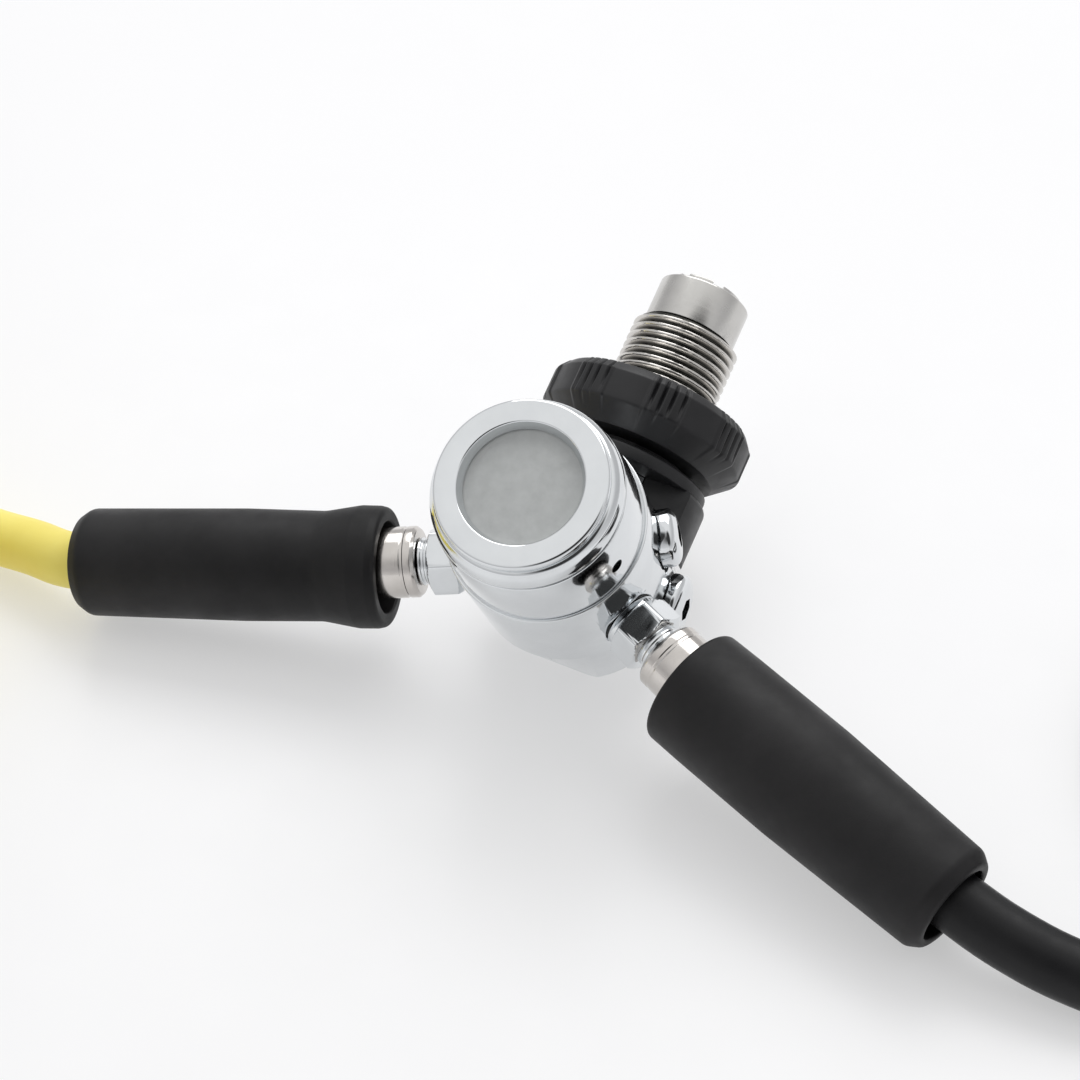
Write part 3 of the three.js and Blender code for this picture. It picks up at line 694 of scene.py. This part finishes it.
def thread(name, matrix):
    """A right-handed pipe thread: rounded crests and roots, fading out at both ends."""
    count = round((THREAD_TOP - THREAD_LOW) / PITCH * PER_PITCH)
    inside = [(8.3, THREAD_TOP), (8.3, 30), (6.8, 30), (6.8, 27.8), (9.9, 27.8), (9.9, 40.0)]
    heights = [THREAD_LOW + (THREAD_TOP - THREAD_LOW) * k / count for k in range(count + 1)]
    profile = inside + [(THREAD_R, z) for z in heights]

    def radius_at(r, z, a):
        if r != THREAD_R or z < THREAD_LOW:
            return r
        phase = ((z - THREAD_LOW) / PITCH - a / (2 * math.pi)) % 1
        tooth = abs(2 * phase - 1)  # 0 at the crest, 1 at the root
        sunk = clamp((tooth - 0.2) / 0.7)
        sunk = smooth(sunk) * 0.5 + sunk * 0.5
        lead = clamp((THREAD_TOP - z) / 0.3)
        start = clamp((z - THREAD_LOW) / 1.0)
        full = THREAD_R - DEPTH * sunk
        root = THREAD_R - DEPTH
        return root + (full - root) * lead * start

    return turned(name, profile, matrix, THREAD_SIDES, 50, radius_at)


stem = thread("threaded_stem", CONNECTOR)
finish_piece(stem, "stainless", "handwheel", ["din_thread_stem"], "thread")

WHEEL_R = 22
LOBES = 8
WHEEL_TURN = math.radians(22.5)
# each groove's place on a grip in degrees, and the height where it runs out
GRIP_GROOVES = ((-8, 31), (-3, 29.5), (2.5, 30.5), (8.5, 32))
GROOVE_HALF = 1.1  # degrees
GROOVE_DEPTH = 0.85
GROOVE_FADE = 5
PAD_DEPTH = 0.35
RIM_DEPTH = 4  # how far in from the rim the grips reach


def wheel_radius(r, z, a):
    """Raised grips with grooves across them, and smooth pads between."""
    if r < WHEEL_R - RIM_DEPTH:
        return r
    a -= WHEEL_TURN
    pad = -PAD_DEPTH * (1 - smooth((math.cos(LOBES * a) + 0.1) / 0.3))
    place_on_lobe = ((a / (2 * math.pi) * LOBES + 0.5) % 1 - 0.5) * 360 / LOBES  # degrees from its middle
    groove = 0.0
    for k, foot in GRIP_GROOVES:
        d = abs(place_on_lobe - k) / GROOVE_HALF
        if d < 1:
            groove = max(groove, clamp((z - foot) / GROOVE_FADE) * (1 - d * d))
    share = clamp((r - (WHEEL_R - RIM_DEPTH)) / RIM_DEPTH)
    return r + share * (pad - GROOVE_DEPTH * groove)


wheel_profile = rounded([
    (10.2, 27.5), (17.5, 27.5, 0.5), (WHEEL_R, 31.6, 1.0), (WHEEL_R, 37.9, 0.8), (20.4, 39.9, 0.8),
    (13.2, 39.9, 0.4), (12.6, 39.3, 0.3), (10.2, 39.3),
], 4)
wheel = turned("grip_wheel", subdivided(wheel_profile, 0.8), CONNECTOR, 720, 50, wheel_radius)
finish_piece(wheel, "black_plastic", "handwheel", ["din_handwheel"])

NOTCHES = 6
retainer_profile = rounded([
    (2.6, 9), (5.5, 9), (5.5, BOSS_TOP), (6.4, BOSS_TOP + 0.3), (6.4, 30.3), (8, 30.3), (8, 56.9),
    (9.8, 56.9, 0.12), (9.8, 66, 0.5), (7.6, 66, 0.15), (7.6, 67.4, 0.3), (6.7, 67.4, 0.2),
    (6.7, 64.5), (4.1, 64.5), (4.1, 66, 0.2), (3.6, 66, 0.2), (3.6, 57), (2.6, 56),
])
retainer = turned("connector_tip", retainer_profile, CONNECTOR, 192)
notch = block((5, -1.2, 66.1), (9, 1.2, 69))
combine(retainer, [(*notch, Matrix.Rotation(2 * math.pi * k / NOTCHES, 4, "Z")) for k in range(NOTCHES)])
finish_piece(retainer, "stainless", stands_for=["din_retainer"])

SEAL_SIDES = 20


def ring(name, node, radius, wire, height, matrix):
    """A seal: a torus of a wire radius."""
    turns = (2 * math.pi * k / SEAL_SIDES for k in range(SEAL_SIDES))
    circle = [(radius + wire * math.cos(t), height + wire * math.sin(t)) for t in turns]
    piece = turned(name, circle, matrix, 96, 80)
    return finish_piece(piece, "seal_rubber", stands_for=[node])


ring("face_seal", "din_o_ring", 5.4, 0.98, 65.8, CONNECTOR)
filter_profile = rounded([(0, 57.6), (1.4, 57.6, 0.4), (3.3, 63.4, 0.2), (3.3, 64.3, 0.2), (0, 64.3)])
inlet = turned("inlet_cone", filter_profile, CONNECTOR, 96)
finish_piece(inlet, "filter_bronze", stands_for=["inlet_filter"])


# ---- hose fittings, ferrules and sleeves --------------------------------------------------------
NUT_SIDES = 180
CORNER_SHARE = 0.985  # of a hexagon's sharp corner that is left after turning
CHAMFER_SLOPE = 1.7
CHAMFER_STEPS = 6
CUT_BY_FLATS = 1000  # added to a radius that the flats limit


def hex_radius(flats, corner, turn):
    """Radius of a hexagon whose corners are turned down to the corner radius."""
    def at(a):
        a = (a - turn) % (math.pi / 3) - math.pi / 6
        return min(flats / 2 / math.cos(a), corner)
    return at


def hex_nut(flats, low, high, chamfer, turn=0.0):
    """Profile and radius function of a hexagonal nut with turned chamfers at both ends."""
    corner = flats / math.sqrt(3) * CORNER_SHARE
    at = hex_radius(flats, corner, turn)
    shares = [k / CHAMFER_STEPS for k in range(CHAMFER_STEPS + 1)]
    limited, narrowing = CUT_BY_FLATS + corner, chamfer * CHAMFER_SLOPE
    profile = [(0, low)]
    profile += [(limited - narrowing * (1 - t), low + chamfer * t) for t in shares]
    profile += [(limited - narrowing * t, high - chamfer * (1 - t)) for t in shares]
    profile.append((0, high))

    def radius_at(r, z, a):
        return r if r < CUT_BY_FLATS / 2 else min(r - CUT_BY_FLATS, at(a))

    return profile, radius_at


def fitting(colour, frame_at):
    """The end that screws into a port: a spigot, a hexagon and a necked collar, with a bore through all."""
    nut_profile, nut_radius = hex_nut(12.7, 20.4, 27, 0.9)
    base = rounded([
        (2, 10), (4.5, 10, 0.3), (4.5, 19.2), (5.9, 19.2, 0.2), (5.9, 20.6), (5.2, 21), (5.2, 26.5),
        (4.8, 26.8), (4.8, 27.6, 0.1), (4.55, 27.8, 0.1), (4.55, 28.3, 0.1), (4.8, 28.5, 0.1), (4.8, 28.9),
        (2, 28.9),
    ])
    piece = turned(f"{colour}_fitting", base, frame_at, 96)
    combine(piece, [(*revolve(nut_profile, NUT_SIDES, nut_radius), IDENTITY)], "UNION")
    combine(piece, [(*rod(2, 5, 35), IDENTITY)])
    finish_piece(piece, "chrome", stands_for=[f"{colour}_hose_fitting"])


def ferrule(name, node, low, high, frame_at, flip=False):
    """A crimped ferrule: rolled edges and a shallow groove."""
    def along(z):
        return low + high - z if flip else z
    outline = [
        (2.6, low), (6.6, low, 0.3), (7.2, low + 0.7, 0.3), (7.2, low + 2.1, 0.1), (7.08, low + 2.3, 0.1),
        (7.08, low + 2.8, 0.1), (7.2, low + 3.0, 0.1), (7.2, high - 0.3, 0.25), (6.9, high, 0.1), (6.2, high),
        (6.2, low + 1.7), (2.6, low + 1.7),
    ]
    profile = rounded([(p[0], along(p[1]), *p[2:]) for p in outline])
    return finish_piece(turned(name, profile, frame_at, 128), "nickel", stands_for=[node])


def sleeve(colour, hose):
    """A moulded sleeve round the ferrule and the hose, with a collar at the ferrule's end."""
    start, end = (place(*p) for p in hose["sleeve"])
    length = (end - start).length / MM
    if colour == "yellow":
        outside = [(9.3, 0, 0.5), (12.0, 0, 1.4), (12.4, 1.8, 1.2), (12.45, 5.6, 2.6), (11.2, 13.2, 9.0),
                   (11.5, 30, 40)]
    else:
        outside = [(9.3, 0, 0.5), (12.3, 0, 1.1), (12.4, 8, 20), (12.35, 30, 40)]
    profile = rounded([
        *outside, (11.1, length - 2.4, 2.6), (9.5, length, 1.2), (7.9, length, 0.5), (7.9, 15, 0.6),
        (9.3, 13.6, 0.6),
    ], 8)
    piece = turned(f"{colour}_sleeve", subdivided(profile, 2.5), aimed(start, end), 160, 60)
    finish_piece(piece, "black_rubber", stands_for=[f"{colour}_hose_sleeve"])

TIE_CORNER = 5.2
TIE_HALF = 4.5  # half its width
TIE_EDGE = 0.3  # the chamfer along its edges
CORNER_STEPS = 8


def tie(colour, hose):
    """A soft strap round both layers of a coil."""
    inner, outer = COIL_R - HOSE_R - 0.9, COIL_R + HOSE_R + 0.3
    top = 2 * HOSE_D + TIE_THICK + 0.3
    low, high = 0.0, top + TIE_THICK
    left, right = inner - TIE_THICK, outer + TIE_THICK
    corner = TIE_CORNER
    loop = []
    for cx, cz, start in ((right - corner, high - corner, 0), (left + corner, high - corner, 90),
                          (left + corner, low + corner, 180), (right - corner, low + corner, 270)):
        for k in range(CORNER_STEPS + 1):
            t = math.radians(start + 90 * k / CORNER_STEPS)
            loop.append((cx + corner * math.cos(t), cz + corner * math.sin(t), math.cos(t), math.sin(t)))
    half, edge = TIE_HALF, TIE_EDGE
    section = [(0, -half + edge), (edge, -half), (0.7, -half), (1.0, -half + edge),
               (1.0, half - edge), (0.7, half), (edge, half), (0, half - edge)]
    points, faces = [], []
    for x, z, nx, nz in loop:
        for depth, across in section:
            points.append((x - depth * nx, across, z - depth * nz))
    n, m = len(loop), len(section)
    for i in range(n):
        for j in range(m):
            a, b = i * m + j, i * m + (j + 1) % m
            c, d = ((i + 1) % n) * m + (j + 1) % m, ((i + 1) % n) * m + j
            faces.append((a, b, c, d))
    x, y = hose["coil"]
    frame_at = Matrix.Translation(place(x, y, 0)) @ Matrix.Rotation(math.radians(hose["tie"]), 4, "Z")
    piece = mesh_object(f"{colour}_strap", points, faces, frame_at, 50)
    finish_piece(piece, "black_rubber", stands_for=[f"{colour}_coil_tie"])
    return piece


def hose_end(colour, hose):
    """Ferrule, stem, seal and swivel nut for the second stage."""
    frame_at = end_frame(hose)
    crimp = ferrule(f"{colour}_end_crimp", f"{colour}_end_ferrule", 0, 15, frame_at, flip=True)
    stem_profile = rounded([
        (2, 15.3), (4.4, 15.3), (4.4, 18.6), (5.6, 18.6, 0.2), (5.6, 21, 0.2), (4, 21), (4, 22.8, 0.1),
        (3.5, 23, 0.1), (3.5, 23.8, 0.1), (4, 24, 0.1), (4, 26, 0.3), (2, 26, 0.2),
    ])
    stem = turned(f"{colour}_end_tube", stem_profile, frame_at, 96)
    finish_piece(stem, "nickel", stands_for=[f"{colour}_end_stem"])
    seal = ring(f"{colour}_end_seal", f"{colour}_end_o_ring", 4.2, 0.45, 23.4, frame_at)
    turn = math.radians(hose["end"] + 90)
    profile, radius_at = hex_nut(END_FLATS, 16.6, 31, 1.3, turn)
    nut = turned(f"{colour}_nut", profile, frame_at, NUT_SIDES, radius_at=radius_at)
    mouth = revolve(rounded([
        (0, 18.3), (6.1, 18.3, 0.2), (6.1, 30.4), (6.9, 31.4), (6.9, 33), (0, 33),
    ]), 96)
    combine(nut, [(*rod(4.8, 15, 33), IDENTITY), (*mouth, IDENTITY)])
    finish_piece(nut, "chrome", f"{colour}_swivel", [f"{colour}_swivel_nut"])
    return [crimp, stem, seal, nut]


for colour, hose in HOSES.items():
    at_port = port(*hose["port"])
    fitting(colour, at_port)
    ferrule(f"{colour}_crimp", f"{colour}_hose_ferrule", 29.2, 46, at_port)
    sleeve(colour, hose)
    tie(colour, hose)
    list(hose_end(colour, hose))

# ---- CAD nodes that stay: inside pieces and small hardware ----------------------------------------
SLOTS = {p["node"]: p["material_slot"] for p in RECORD["subparts"]}
for name, node in frame["nodes"].items():
    if not node.hide_render:
        node.data.materials.clear()
        node.data.materials.append(MATERIALS[SLOTS[name]])

# ---- floor and light --------------------------------------------------------------------------
FLOOR_HALF = 6  # metres
FLOOR_GLOW = 0.46  # lifts the floor to the photo's bright background
floor_mat, tree, shader = start_material("studio_floor")
space = object_space(tree)
paper = shades(tree, noise_of(tree, space, 3), (0.45, 0.45, 0.46), (0.465, 0.465, 0.47))
tree.links.new(paper, shader.inputs["Base Color"])
tree.links.new(spread(tree, noise_of(tree, space, 60), 0.28, 0.36), shader.inputs["Roughness"])
shader.inputs["Specular IOR Level"].default_value = 0.3
shader.inputs["Emission Color"].default_value = (1, 1, 1, 1)
shader.inputs["Emission Strength"].default_value = FLOOR_GLOW
floor_mesh = bpy.data.meshes.new("floor")
corners = [(x * FLOOR_HALF, y * FLOOR_HALF, 0) for x, y in ((-1, -1), (1, -1), (1, 1), (-1, 1))]
floor_mesh.from_pydata(corners, [], [(0, 1, 2, 3)])
floor = link("floor", floor_mesh)
floor_mesh.materials.append(floor_mat)

SKY_STRENGTH = 0.92
LEVEL_TONE, BAND_TONE, TOP_TONE = (0.82, 0.82, 0.83, 1), (0.6, 0.6, 0.61, 1), (1.0, 1.0, 1.0, 1)
DARK_WAY = Vector((0.12, -0.75, 0.64)).normalized()  # towards the dark room
DARK_EDGE = (0.84, 0.93)  # cosines from that way where the room starts and is fully dark
DARK_TONE = 0.06
world = bpy.data.worlds.new("studio")
bpy.context.scene.world = world
world.use_nodes = True
sky = world.node_tree
background = sky.nodes["Background"]
background.inputs[1].default_value = SKY_STRENGTH
toward = sky.nodes.new("ShaderNodeTexCoord")
split = sky.nodes.new("ShaderNodeSeparateXYZ")
sky.links.new(toward.outputs["Generated"], split.inputs[0])
tone = sky.nodes.new("ShaderNodeValToRGB")
tone.color_ramp.elements[0].position = 0.0
tone.color_ramp.elements[0].color = LEVEL_TONE
tone.color_ramp.elements[1].position = 0.9
tone.color_ramp.elements[1].color = TOP_TONE
tone.color_ramp.elements.new(0.28).color = BAND_TONE
sky.links.new(split.outputs["Z"], tone.inputs[0])
# the dark room behind the camera, which chrome shows as black streaks
facing = sky.nodes.new("ShaderNodeVectorMath")
facing.operation = "DOT_PRODUCT"
sky.links.new(toward.outputs["Generated"], facing.inputs[0])
facing.inputs[1].default_value = DARK_WAY
room = spread(sky, facing.outputs["Value"], 1.0, DARK_TONE, *DARK_EDGE)
mixed = sky.nodes.new("ShaderNodeVectorMath")
mixed.operation = "SCALE"
sky.links.new(tone.outputs[0], mixed.inputs[0])
sky.links.new(room, mixed.inputs["Scale"])
sky.links.new(mixed.outputs["Vector"], background.inputs[0])


def softbox(name, location, target, size, power):
    data = bpy.data.lights.new(name, "AREA")
    data.shape = "RECTANGLE"
    data.size, data.size_y = size
    data.energy = power
    obj = link(name, data)
    turn = (Vector(target) - Vector(location)).to_track_quat("-Z", "Y").to_matrix().to_4x4()
    obj.matrix_world = Matrix.Translation(location) @ turn


softbox("key", location=(0.2, 0.85, 1.1), target=(0, 0, 0), size=(1.4, 1.0), power=9.5)
bpy.context.scene.view_settings.view_transform = "Standard"
